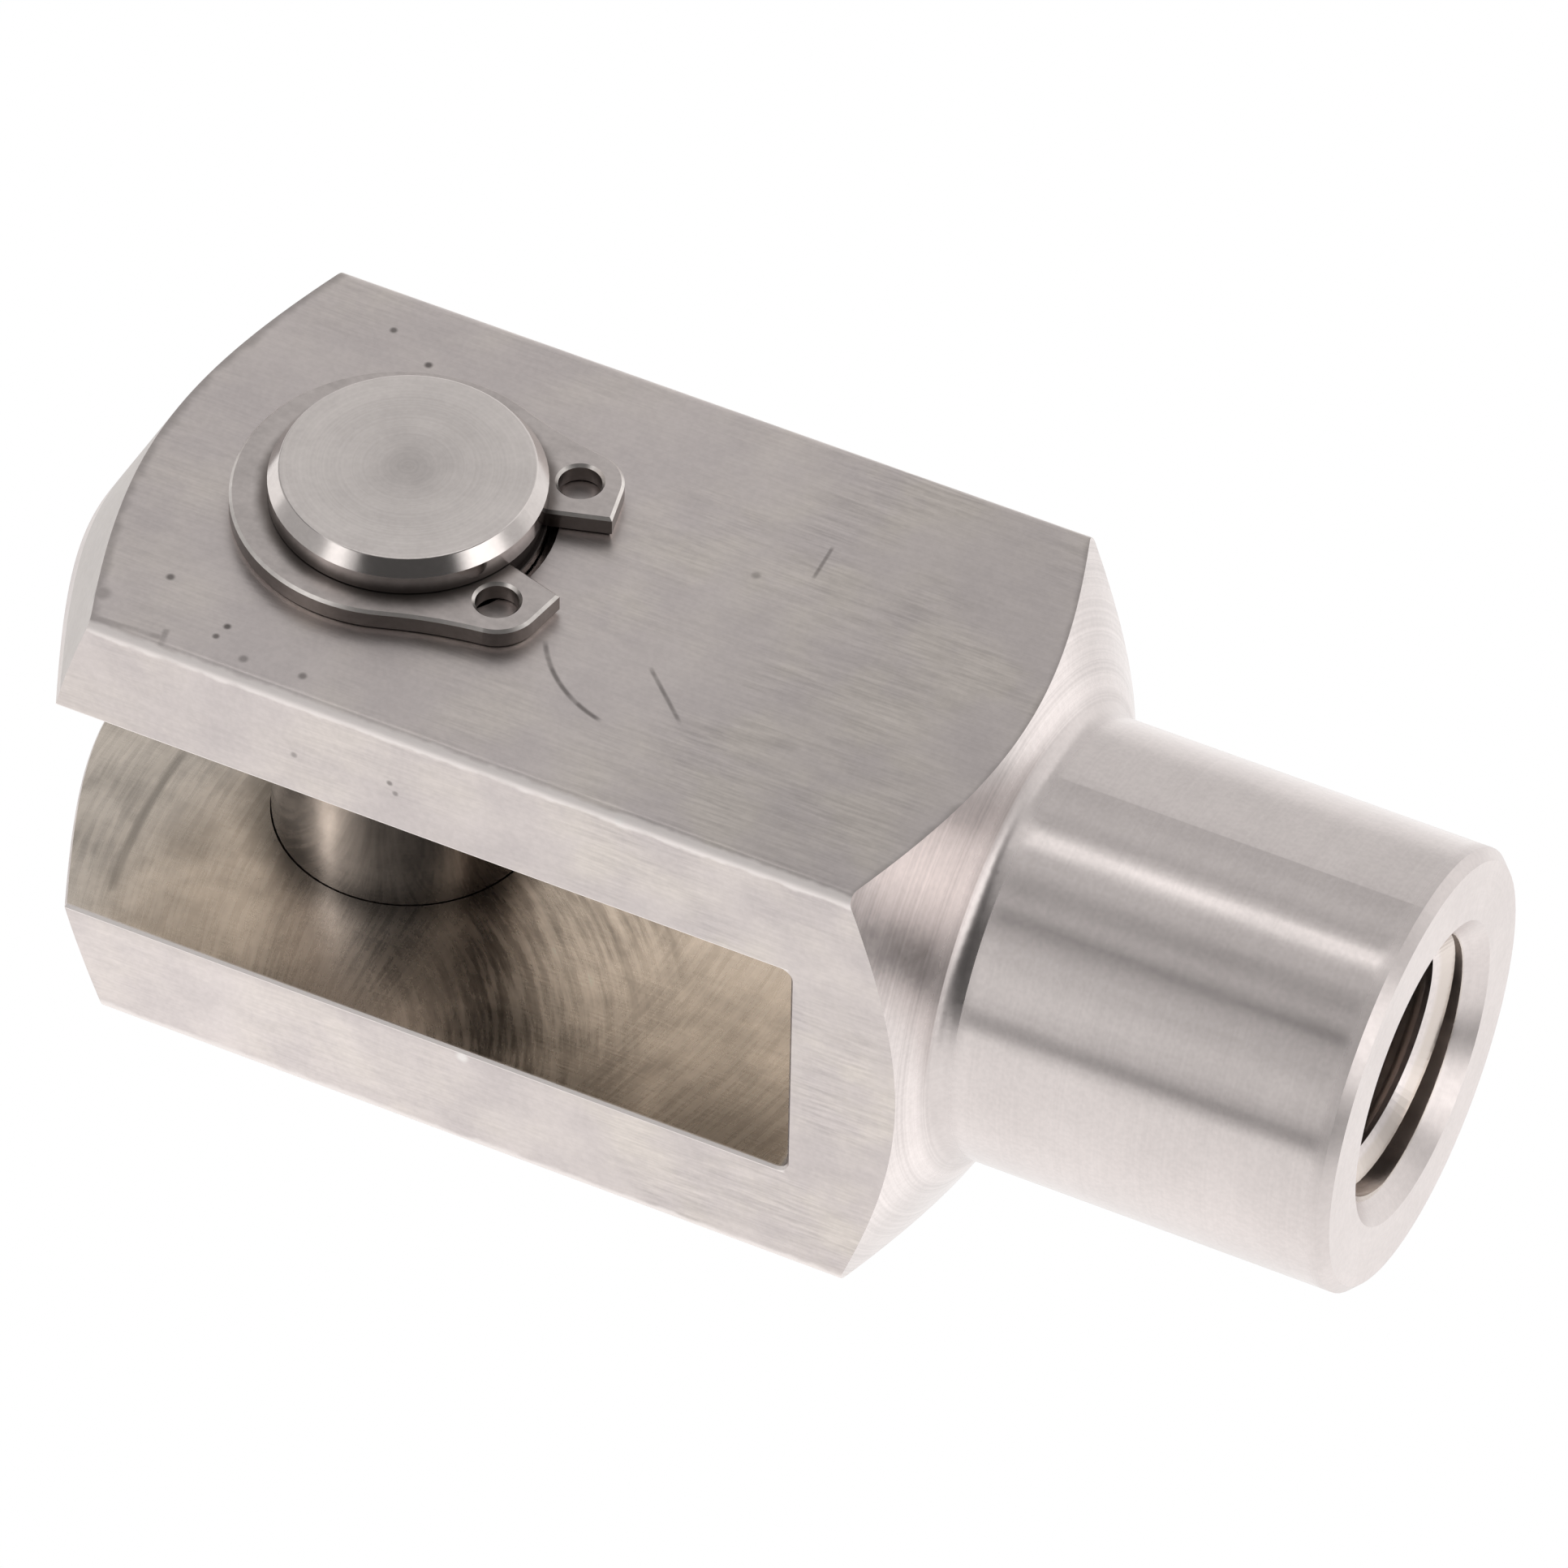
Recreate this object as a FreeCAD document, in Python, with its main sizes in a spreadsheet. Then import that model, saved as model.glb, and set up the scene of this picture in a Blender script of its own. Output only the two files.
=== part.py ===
import FreeCAD, Part

import math
import os

import Sketcher

# Tension rod clevis: a square fork with a turned, tapped neck, a turned cross pin through both prongs
# and a retaining ring in a groove near each end of the pin. Lengths are in millimetres.
# Frame: +Z along the pin, +X from the pin to the tapped neck, origin where the two axes cross.

doc = FreeCAD.newDocument("TensionRodClevis")

# Driving dimensions

sizes = [
    # Fork: square bar, slot, coned tip, conical shoulder and round neck; the tip was turned a little off
    # the bar's axis, towards the upper prong
    ("bar_width", 24.0),
    ("bar_edge_round", 0.6),
    ("slot_width", 12.3),
    ("slot_reach", 24.0),
    ("slot_corner", 0.5),
    ("slot_edge_break", 0.12),
    ("tip_flat_reach", 11.48),
    ("tip_slope", 0.52),
    ("tip_axis_rise", 0.35),
    ("neck_radius", 10.0),
    ("neck_reach", 48.0),
    ("neck_length", 18.0),
    ("neck_root_fillet", 1.0),
    ("neck_edge_break", 0.45),
    ("shoulder_slope", 0.5),
    ("thread_radius", 6.0),
    ("thread_mouth_radius", 6.88),
    # Pin: running fit in the fork, grooved and chamfered at both ends
    ("pin_radius", 6.0),
    ("pin_bore_clearance", 0.05),
    ("pin_bore_edge_break", 0.45),
    ("pin_overhang", 2.7),
    ("pin_face_radius", 5.5),
    ("pin_chamfer_length", 0.7),
    ("pin_rim_round", 0.12),
    ("groove_depth", 0.25),
    ("groove_side_clearance", 0.05),
    # Retaining ring: eccentric band that ends in two drilled lugs, either side of its gap
    ("ring_thickness", 1.0),
    ("ring_play", 0.05),
    ("ring_bore_clearance", 0.02),
    ("ring_outer_radius", 7.33),
    ("ring_offset", 0.35),
    ("ring_gap_half_angle", 16.5),
    ("ring_edge_break", 0.13),
    ("lug_corner_reach", 8.8),
    ("lug_hole_radius", 0.95),
    ("lug_hole_reach", 7.36),
    ("lug_hole_angle", 32.5),
    ("lug_radius", 1.9),
    ("lug_fillet", 20.0),
]

sheet = doc.addObject("Spreadsheet::Sheet", "Sizes")
for row, (alias, number) in enumerate(sizes, start=1):
    sheet.set("A%d" % row, alias)
    sheet.set("B%d" % row, str(number))
    sheet.setAlias("B%d" % row, alias)
doc.recompute()

# Places worked out from the driving dimensions, as expressions over the sheet

half_bar = "Sizes.bar_width / 2"
half_slot = "Sizes.slot_width / 2"
turning_rim = "Sizes.bar_width * 3 / 4"
tip_apex = "Sizes.tip_flat_reach + Sizes.tip_slope * Sizes.bar_width / 2"
stock_reach = tip_apex + " + Sizes.bar_width / 4"
tip_far = tip_apex + " + Sizes.bar_width / 2"
neck_root = "Sizes.neck_reach - Sizes.neck_length"
pin_bore = "Sizes.pin_radius + Sizes.pin_bore_clearance"
pin_end = "Sizes.bar_width / 2 + Sizes.pin_overhang"
groove_radius = "Sizes.pin_radius - Sizes.groove_depth"
groove_start = "Sizes.bar_width / 2 + Sizes.ring_play - Sizes.groove_side_clearance"
groove_finish = ("Sizes.bar_width / 2 + Sizes.ring_play + Sizes.ring_thickness"
                 " + Sizes.groove_side_clearance")
ring_bore = "Sizes.pin_radius - Sizes.groove_depth + Sizes.ring_bore_clearance"
gap_cos = "cos(Sizes.ring_gap_half_angle * 1 deg)"
gap_sin = "sin(Sizes.ring_gap_half_angle * 1 deg)"
lug_x = "Sizes.lug_hole_reach * cos(Sizes.lug_hole_angle * 1 deg)"
lug_y = "Sizes.lug_hole_reach * sin(Sizes.lug_hole_angle * 1 deg)"


def present(expression):
    """Present value of an expression over the sizes."""
    return float(sheet.evalExpression(expression))


def near(first, second):
    """True where two lengths are the same to a hundredth of a millimetre."""
    return abs(first - second) < 0.01


# Sketching and features


def new_body(label):
    """Empty body whose label names the finished piece."""
    body = doc.addObject("PartDesign::Body", label)
    body.Label = label
    return body


def origin_part(body, role):
    """Plane or axis of a body's own origin."""
    return next(item for item in body.Origin.OriginFeatures if item.Role == role)


def new_sketch(body, name, plane):
    """Empty sketch on one of the body's origin planes."""
    sketch = body.newObject("Sketcher::SketchObject", body.Label + "_" + name)
    sketch.AttachmentSupport = [(origin_part(body, plane), "")]
    sketch.MapMode = "FlatFace"
    return sketch


def tie_point(sketch, geometry, corner, across, up):
    """Fixes one point of the sketch at two coordinates given as expressions."""
    for kind, expression in (("DistanceX", across), ("DistanceY", up)):
        tie = Sketcher.Constraint(kind, -1, 1, geometry, corner, present(expression))
        index = sketch.addConstraint(tie)
        sketch.setExpression("Constraints[%d]" % index, expression)


def tie_value(sketch, expression, kind, *places):
    """Adds a length or radius constraint whose value is an expression."""
    index = sketch.addConstraint(Sketcher.Constraint(kind, *places, present(expression)))
    sketch.setExpression("Constraints[%d]" % index, expression)


def draw_outline(sketch, corners):
    """Closed outline of straight lines with every corner tied to its coordinates."""
    points = [FreeCAD.Vector(present(across), present(up), 0) for across, up in corners]
    count = len(points)
    for index in range(count):
        sketch.addGeometry(Part.LineSegment(points[index], points[(index + 1) % count]), False)
    for index in range(count):
        sketch.addConstraint(Sketcher.Constraint("Coincident", index, 2, (index + 1) % count, 1))
    for index, (across, up) in enumerate(corners):
        tie_point(sketch, index, 1, across, up)


def draw_circle(sketch, across, up, radius):
    """Circle with its centre and radius tied to expressions."""
    centre = FreeCAD.Vector(present(across), present(up), 0)
    circle = Part.Circle(centre, FreeCAD.Vector(0, 0, 1), present(radius))
    index = sketch.addGeometry(circle, False)
    tie_point(sketch, index, 3, across, up)
    tie_value(sketch, radius, "Radius", index)


def add_feature(body, kind, name, sketch):
    """Sketch-based feature of a body, made its tip."""
    feature = body.newObject("PartDesign::" + kind, body.Label + "_" + name)
    feature.Profile = sketch
    sketch.Visibility = False
    body.Tip = feature
    return feature


def cut_through(body, name, sketch):
    """Pocket through everything on both sides of its sketch."""
    pocket = add_feature(body, "Pocket", name, sketch)
    pocket.SideType = "Symmetric"
    pocket.Type = "ThroughAll"
    return pocket


def turn(body, kind, name, sketch, axis=None):
    """Full-turn revolution or groove about one of the body's axes, or the level axis of its own sketch."""
    feature = add_feature(body, kind, name, sketch)
    feature.ReferenceAxis = (origin_part(body, axis), [""]) if axis else (sketch, ["H_Axis"])
    feature.Angle = 360
    return feature


def dress_edges(body, kind, name, size, wanted):
    """Fillet or chamfer on the edges of the body that a test picks."""
    doc.recompute()
    base = body.Tip
    edges = base.Shape.Edges
    picked = ["Edge%d" % number for number, edge in enumerate(edges, start=1) if wanted(edge)]
    if not picked:
        raise RuntimeError("no edge found for " + name)
    feature = body.newObject("PartDesign::" + kind, body.Label + "_" + name)
    feature.Base = (base, picked)
    feature.setExpression("Radius" if kind == "Fillet" else "Size", size)
    body.Tip = feature
    return feature


def mirror(body, name, features, plane):
    """Mirror copy of features across one of the body's origin planes."""
    doc.recompute()
    copy = body.newObject("PartDesign::Mirrored", body.Label + "_" + name)
    copy.Originals = features
    copy.MirrorPlane = (origin_part(body, plane), [""])
    body.Tip = copy
    return copy


def is_circle(edge, radius, axis):
    """True for a round edge of the given radius about the given axis."""
    curve = edge.Curve
    if curve.TypeId != "Part::GeomCircle" or not near(curve.Radius, radius):
        return False
    return near(abs(curve.Axis.dot(axis)), 1)


def is_line_along(edge, direction):
    """True for a straight edge along the given direction."""
    if edge.Curve.TypeId != "Part::GeomLine":
        return False
    return near(abs(edge.Curve.Direction.dot(direction)), 1)


x_way = FreeCAD.Vector(1, 0, 0)
z_way = FreeCAD.Vector(0, 0, 1)

# Fork body


def is_slot_edge(edge):
    """True for the outer edges of the slot: along its cheeks, round its corners and down its floor."""
    box = edge.BoundBox
    cheek = present(half_slot)
    corner = present("Sizes.slot_corner")
    floor = present("Sizes.slot_reach")
    on_side = near(box.YLength, 0) and near(abs(box.YMin), present(half_bar))
    if on_side and is_circle(edge, corner, FreeCAD.Vector(0, 1, 0)):
        return True
    if on_side and near(box.XMin, floor) and near(box.XMax, floor):
        return True
    on_cheek = near(box.ZLength, 0) and near(abs(box.ZMin), cheek)
    if is_circle(edge, present(pin_bore), z_way):
        return False
    return on_cheek and (on_side or box.XMax < 0)


def make_fork():
    """Fork body: bar, coned tip, shoulder and neck, then the slot, the pin bore and the tapped bore."""
    body = new_body("fork_body")

    section = new_sketch(body, "bar_section", "YZ_Plane")
    draw_outline(section, [
        ("-(%s)" % half_bar, "-(%s)" % half_bar),
        (half_bar, "-(%s)" % half_bar),
        (half_bar, half_bar),
        ("-(%s)" % half_bar, half_bar),
    ])
    bar = add_feature(body, "Pad", "bar", section)
    bar.SideType = "Two sides"
    bar.setExpression("Length", "Sizes.neck_reach")
    bar.setExpression("Length2", stock_reach)
    dress_edges(body, "Fillet", "bar_edges", "Sizes.bar_edge_round",
                lambda edge: is_line_along(edge, x_way))

    tip = new_sketch(body, "tip_cone_outline", "XZ_Plane")
    tip.setExpression("AttachmentOffset.Base.y", "Sizes.tip_axis_rise")
    tip_rim = "Sizes.tip_flat_reach - Sizes.tip_slope * (%s - %s)" % (turning_rim, half_bar)
    draw_outline(tip, [
        ("-(%s)" % tip_apex, "0"),
        ("-(%s)" % tip_far, "0"),
        ("-(%s)" % tip_far, turning_rim),
        ("-(%s)" % tip_rim, turning_rim),
    ])
    turn(body, "Groove", "tip_cone", tip)

    shoulder = new_sketch(body, "shoulder_outline", "XZ_Plane")
    cone_rim = "%s - Sizes.shoulder_slope * (%s - Sizes.neck_radius)" % (neck_root, turning_rim)
    draw_outline(shoulder, [
        (neck_root, "Sizes.neck_radius"),
        ("Sizes.neck_reach", "Sizes.neck_radius"),
        ("Sizes.neck_reach", turning_rim),
        (cone_rim, turning_rim),
    ])
    turn(body, "Groove", "shoulder", shoulder, "X_Axis")

    slot = new_sketch(body, "slot_outline", "XZ_Plane")
    draw_outline(slot, [
        ("-(%s)" % tip_far, "-(%s)" % half_slot),
        ("Sizes.slot_reach", "-(%s)" % half_slot),
        ("Sizes.slot_reach", half_slot),
        ("-(%s)" % tip_far, half_slot),
    ])
    cut_through(body, "slot", slot)
    dress_edges(body, "Fillet", "slot_corners", "Sizes.slot_corner",
                lambda edge: is_line_along(edge, FreeCAD.Vector(0, 1, 0))
                and near(edge.BoundBox.XMin, present("Sizes.slot_reach"))
                and near(abs(edge.BoundBox.ZMin), present(half_slot)))

    bore = new_sketch(body, "pin_bore_outline", "XY_Plane")
    draw_circle(bore, "0", "0", pin_bore)
    cut_through(body, "pin_bore", bore)

    dress_edges(body, "Chamfer", "slot_edges", "Sizes.slot_edge_break", is_slot_edge)
    dress_edges(body, "Chamfer", "pin_bore_edges", "Sizes.pin_bore_edge_break",
                lambda edge: is_circle(edge, present(pin_bore), z_way)
                and near(abs(edge.BoundBox.ZMin), present(half_bar)))

    tapped = new_sketch(body, "tapped_bore_outline", "XZ_Plane")
    draw_outline(tapped, [
        ("Sizes.slot_reach - Sizes.slot_corner", "0"),
        ("Sizes.neck_reach", "0"),
        ("Sizes.neck_reach", "Sizes.thread_mouth_radius"),
        ("Sizes.neck_reach - (Sizes.thread_mouth_radius - Sizes.thread_radius)", "Sizes.thread_radius"),
        ("Sizes.slot_reach - Sizes.slot_corner", "Sizes.thread_radius"),
    ])
    turn(body, "Groove", "tapped_bore", tapped, "X_Axis")

    dress_edges(body, "Fillet", "neck_root", "Sizes.neck_root_fillet",
                lambda edge: is_circle(edge, present("Sizes.neck_radius"), x_way)
                and near(edge.BoundBox.XMin, present(neck_root)))
    dress_edges(body, "Chamfer", "neck_edge", "Sizes.neck_edge_break",
                lambda edge: is_circle(edge, present("Sizes.neck_radius"), x_way)
                and near(edge.BoundBox.XMin, present("Sizes.neck_reach")))
    return body


# Clevis pin


def make_pin():
    """Clevis pin: the upper half is turned about Z and mirrored to the lower half."""
    body = new_body("clevis_pin")
    profile = new_sketch(body, "half_profile", "XZ_Plane")
    draw_outline(profile, [
        ("0", "0"),
        ("Sizes.pin_radius", "0"),
        ("Sizes.pin_radius", groove_start),
        (groove_radius, groove_start),
        (groove_radius, groove_finish),
        ("Sizes.pin_radius", groove_finish),
        ("Sizes.pin_radius", "%s - Sizes.pin_chamfer_length" % pin_end),
        ("Sizes.pin_face_radius", pin_end),
        ("0", pin_end),
    ])
    half = turn(body, "Revolution", "half", profile, "Z_Axis")
    mirror(body, "whole", [half], "XY_Plane")
    dress_edges(body, "Fillet", "rims", "Sizes.pin_rim_round",
                lambda edge: is_circle(edge, present("Sizes.pin_face_radius"), z_way))
    return body


# Retaining rings


def draw_lug_end(sketch):
    """Lug's end: from the gap's corner along a line that is tangent to the round of the lug."""
    corner = ("Sizes.lug_corner_reach * " + gap_cos, "Sizes.lug_corner_reach * " + gap_sin)
    inner = ("(%s) * %s" % (ring_bore, gap_cos), "(%s) * %s" % (ring_bore, gap_sin))
    centre = (lug_x, lug_y)
    corner_at, inner_at, centre_at = [FreeCAD.Vector(present(across), present(up), 0)
                                      for across, up in (corner, inner, centre)]
    to_corner = corner_at - centre_at
    swing = math.acos(present("Sizes.lug_radius") / to_corner.Length)
    angle = math.atan2(to_corner.y, to_corner.x) + swing
    tangent_at = centre_at + FreeCAD.Vector(math.cos(angle), math.sin(angle), 0) * present("Sizes.lug_radius")
    points = [corner_at, tangent_at, centre_at, inner_at]
    for index in range(4):
        sketch.addGeometry(Part.LineSegment(points[index], points[(index + 1) % 4]), False)
    for index in range(4):
        sketch.addConstraint(Sketcher.Constraint("Coincident", index, 2, (index + 1) % 4, 1))
    tie_point(sketch, 0, 1, *corner)
    tie_point(sketch, 2, 1, *centre)
    tie_point(sketch, 3, 1, *inner)
    tie_value(sketch, "Sizes.lug_radius", "Distance", 1)
    sketch.addConstraint(Sketcher.Constraint("Perpendicular", 0, 1))


def is_lug_root(edge):
    """True for the upright edges where the round of a lug meets the outer round of the band."""
    if not is_line_along(edge, z_way):
        return False
    place = edge.Vertexes[0].Point
    band = math.hypot(place.x + present("Sizes.ring_offset"), place.y)
    lug = math.hypot(place.x - present(lug_x), abs(place.y) - present(lug_y))
    return near(band, present("Sizes.ring_outer_radius")) and near(lug, present("Sizes.lug_radius"))


def make_ring(label, foot):
    """Retaining ring with its lower face at the height given, and its gap towards the neck."""
    body = new_body(label)

    disc = new_sketch(body, "disc_outline", "XY_Plane")
    draw_circle(disc, "-Sizes.ring_offset", "0", "Sizes.ring_outer_radius")
    lug = new_sketch(body, "lug_outline", "XY_Plane")
    draw_circle(lug, lug_x, lug_y, "Sizes.lug_radius")
    lug_end = new_sketch(body, "lug_end_outline", "XY_Plane")
    draw_lug_end(lug_end)
    pads = []
    for name, sketch in (("disc", disc), ("lug", lug), ("lug_end", lug_end)):
        pad = add_feature(body, "Pad", name, sketch)
        pad.setExpression("Length", "Sizes.ring_thickness")
        pads.append(pad)
    mirror(body, "lugs", pads[1:], "XZ_Plane")
    dress_edges(body, "Fillet", "lug_roots", "Sizes.lug_fillet", is_lug_root)

    openings = new_sketch(body, "holes_outline", "XY_Plane")
    draw_circle(openings, "0", "0", ring_bore)
    draw_circle(openings, lug_x, lug_y, "Sizes.lug_hole_radius")
    draw_circle(openings, lug_x, "-(%s)" % lug_y, "Sizes.lug_hole_radius")
    cut_through(body, "holes", openings)

    gap = new_sketch(body, "gap_outline", "XY_Plane")
    gap_far = "2 * Sizes.ring_outer_radius"
    draw_outline(gap, [
        ("0", "0"),
        ("%s * %s" % (gap_far, gap_cos), "-%s * %s" % (gap_far, gap_sin)),
        ("%s * %s" % (gap_far, gap_cos), "%s * %s" % (gap_far, gap_sin)),
    ])
    cut_through(body, "gap", gap)
    dress_edges(body, "Chamfer", "edges", "Sizes.ring_edge_break",
                lambda edge: near(edge.BoundBox.ZLength, 0))
    body.setExpression("Placement.Base.z", foot)
    return body


pieces = [
    make_fork(),
    make_pin(),
    make_ring("retaining_ring_upper", "Sizes.bar_width / 2 + Sizes.ring_play"),
    make_ring("retaining_ring_lower", "-(Sizes.bar_width / 2 + Sizes.ring_play + Sizes.ring_thickness)"),
]
doc.recompute()

# Every object has to be sound before a piece is written

for item in doc.Objects:
    if "Invalid" in item.State or "Error" in item.State:
        raise RuntimeError("failed object: " + item.Label)
for piece in pieces:
    if piece.Shape.isNull() or not piece.Shape.isValid() or len(piece.Shape.Solids) != 1:
        raise RuntimeError("unsound piece: " + piece.Label)

os.makedirs("parts", exist_ok=True)
for piece in pieces:
    piece.Shape.exportStep("parts/" + piece.Label + ".step")
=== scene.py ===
import math

import bpy
from mathutils import Matrix, Vector


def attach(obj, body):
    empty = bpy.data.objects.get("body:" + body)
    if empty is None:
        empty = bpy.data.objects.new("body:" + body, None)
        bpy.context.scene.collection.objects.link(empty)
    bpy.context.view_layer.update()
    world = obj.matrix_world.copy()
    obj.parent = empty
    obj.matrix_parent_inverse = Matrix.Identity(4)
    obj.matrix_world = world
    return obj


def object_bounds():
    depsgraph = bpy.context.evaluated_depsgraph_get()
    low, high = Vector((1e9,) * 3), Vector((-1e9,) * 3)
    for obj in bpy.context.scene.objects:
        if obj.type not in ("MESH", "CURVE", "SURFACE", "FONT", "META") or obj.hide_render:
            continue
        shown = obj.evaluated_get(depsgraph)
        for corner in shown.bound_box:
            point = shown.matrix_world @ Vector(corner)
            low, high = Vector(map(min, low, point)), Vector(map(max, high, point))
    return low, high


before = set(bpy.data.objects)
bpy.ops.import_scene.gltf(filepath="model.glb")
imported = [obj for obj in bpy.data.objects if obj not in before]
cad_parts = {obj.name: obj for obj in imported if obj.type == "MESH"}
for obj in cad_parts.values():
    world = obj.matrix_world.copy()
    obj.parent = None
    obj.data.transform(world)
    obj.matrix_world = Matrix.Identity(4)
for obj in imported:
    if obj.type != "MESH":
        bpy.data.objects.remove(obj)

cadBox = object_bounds()
mm = 0.001

# Sizes that the looks share with the solids, in millimetres: the flats' half width, the slot's half width and
# floor, the neck's root, end and radius, its bore and mouth, the pin, and the cones of tip and shoulder
fork = {"flat": 12.0, "cheek": 6.15, "slotFloor": 24.0, "neckRoot": 30.0, "neckEnd": 48.0, "neckRadius": 10.0,
        "boreRadius": 6.0, "mouthRadius": 6.88, "pinRadius": 6.0, "tipReach": 11.48, "tipSlope": 0.52,
        "tipRise": 0.35, "shoulderSlope": 0.5}


# Node helpers: every tree below is built with these

def addNode(tree, kind, **settings):
    node = tree.nodes.new(kind)
    for name, value in settings.items():
        setattr(node, name, value)
    return node


def feed(tree, socket, value):
    # a socket takes a link from another node's output, or a constant
    if isinstance(value, bpy.types.NodeSocket):
        tree.links.new(value, socket)
    else:
        socket.default_value = value


def calc(tree, operation, *values, clamp=False):
    node = addNode(tree, "ShaderNodeMath", operation=operation, use_clamp=clamp)
    for socket, value in zip(node.inputs, values):
        feed(tree, socket, value)
    return node.outputs[0]


def product(tree, first, *others):
    for other in others:
        first = calc(tree, "MULTIPLY", first, other)
    return first


def total(tree, first, *others):
    for other in others:
        first = calc(tree, "ADD", first, other)
    return first


def largest(tree, first, *others):
    for other in others:
        first = calc(tree, "MAXIMUM", first, other)
    return first


def swing(tree, value, amount):
    # turns a mask of 0 to 1 into a change of plus or minus half the amount
    return calc(tree, "MULTIPLY", calc(tree, "SUBTRACT", value, 0.5), amount)


def vectorCalc(tree, operation, *values):
    node = addNode(tree, "ShaderNodeVectorMath", operation=operation)
    for socket, value in zip(node.inputs, values):
        feed(tree, socket, value)
    return node.outputs["Value" if operation in ("LENGTH", "DISTANCE", "DOT_PRODUCT") else "Vector"]


def split(tree, vector):
    node = addNode(tree, "ShaderNodeSeparateXYZ")
    feed(tree, node.inputs[0], vector)
    return node.outputs


def flatLength(tree, vector, keep):
    # length of a vector over the axes that keep holds, such as the distance from the pin's axis
    return vectorCalc(tree, "LENGTH", vectorCalc(tree, "MULTIPLY", vector, keep))


def join(tree, *values):
    node = addNode(tree, "ShaderNodeCombineXYZ")
    for socket, value in zip(node.inputs, values):
        feed(tree, socket, value)
    return node.outputs[0]


def fade(tree, value, low, high, toLow=0.0, toHigh=1.0):
    # smooth step from toLow to toHigh as the value goes from low to high
    node = addNode(tree, "ShaderNodeMapRange", interpolation_type="SMOOTHSTEP")
    for name, item in (("Value", value), ("From Min", low), ("From Max", high),
                       ("To Min", toLow), ("To Max", toHigh)):
        feed(tree, node.inputs[name], item)
    return node.outputs["Result"]


def fadeMm(tree, length, low, high, toLow=0.0, toHigh=1.0):
    # the same step for a length, with its ends in millimetres
    return fade(tree, length, low * mm, high * mm, toLow, toHigh)


def between(tree, value, low, high, soft):
    # 1 between low and high, with soft edges
    return calc(tree, "MULTIPLY", fade(tree, value, low - soft, low + soft),
                fade(tree, value, high - soft, high + soft, 1.0, 0.0))


def blendColour(tree, factor, first, second):
    node = addNode(tree, "ShaderNodeMix", data_type="RGBA")
    feed(tree, node.inputs["Factor"], factor)
    feed(tree, node.inputs[6], first)
    feed(tree, node.inputs[7], second)
    return node.outputs[2]


def blendValue(tree, factor, first, second):
    node = addNode(tree, "ShaderNodeMix", data_type="FLOAT")
    feed(tree, node.inputs["Factor"], factor)
    feed(tree, node.inputs[2], first)
    feed(tree, node.inputs[3], second)
    return node.outputs[0]


def noise(tree, vector, scale, detail=2.0, breakUp=0.5):
    node = addNode(tree, "ShaderNodeTexNoise")
    for name, value in (("Vector", vector), ("Scale", scale), ("Detail", detail), ("Roughness", breakUp)):
        feed(tree, node.inputs[name], value)
    return node.outputs["Fac"]


def newGroup(name, inputs, outputs):
    # shader group with named sockets; gives the tree, what comes into it and what it puts out
    tree = bpy.data.node_groups.new(name, "ShaderNodeTree")
    for label, kind, value in inputs:
        socket = tree.interface.new_socket(label, in_out="INPUT", socket_type=kind)
        socket.default_value = value
    for label in outputs:
        tree.interface.new_socket(label, in_out="OUTPUT", socket_type="NodeSocketFloat")
    entry = addNode(tree, "NodeGroupInput")
    leaving = addNode(tree, "NodeGroupOutput")
    return tree, entry.outputs, leaving.inputs


def useGroup(tree, group, **values):
    node = addNode(tree, "ShaderNodeGroup", node_tree=group)
    for name, value in values.items():
        feed(tree, node.inputs[name], value)
    return node.outputs


def rgb(red, green, blue):
    return (red, green, blue, 1.0)


# Shared effects, each a group that puts out masks between 0 and 1

def makeGrainGroup():
    # long thin streaks: stretched noise, lengthwise coarse and crosswise fine
    tree, given, out = newGroup("steelGrain", [
        ("Vector", "NodeSocketVector", (0, 0, 0)),
        ("Stretch", "NodeSocketVector", (1, 1, 1)),
        ("Break-up", "NodeSocketFloat", 0.5),
    ], ["Fine", "Coarse"])
    scaled = vectorCalc(tree, "MULTIPLY", given["Vector"], given["Stretch"])
    fine = noise(tree, scaled, 1.0, 2.0, given["Break-up"])
    coarse = noise(tree, vectorCalc(tree, "MULTIPLY", scaled, (0.31, 0.31, 0.31)), 1.0, 1.0, 0.55)
    feed(tree, out["Fine"], fade(tree, fine, 0.28, 0.72))
    feed(tree, out["Coarse"], fade(tree, coarse, 0.3, 0.7))
    return tree


def makeTurningGroup():
    # lathe lines: noise along one distance only, broken up a little over the surface
    tree, given, out = newGroup("turningLines", [
        ("Distance", "NodeSocketFloat", 0.0),
        ("Vector", "NodeSocketVector", (0, 0, 0)),
        ("Lines", "NodeSocketFloat", 9000.0),
    ], ["Fine", "Coarse"])
    wander = calc(tree, "MULTIPLY", noise(tree, given["Vector"], 90.0, 1.0), 0.02 * mm)
    place = calc(tree, "ADD", given["Distance"], wander)
    for label, share, detail in (("Fine", 1.0, 2.0), ("Coarse", 0.18, 1.0)):
        lines = addNode(tree, "ShaderNodeTexNoise", noise_dimensions="1D")
        rate = calc(tree, "MULTIPLY", given["Lines"], share)
        feed(tree, lines.inputs["W"], calc(tree, "MULTIPLY", place, rate))
        feed(tree, lines.inputs["Scale"], 1.0)
        feed(tree, lines.inputs["Detail"], detail)
        feed(tree, out[label], fade(tree, lines.outputs["Fac"], 0.3, 0.7))
    return tree


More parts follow.
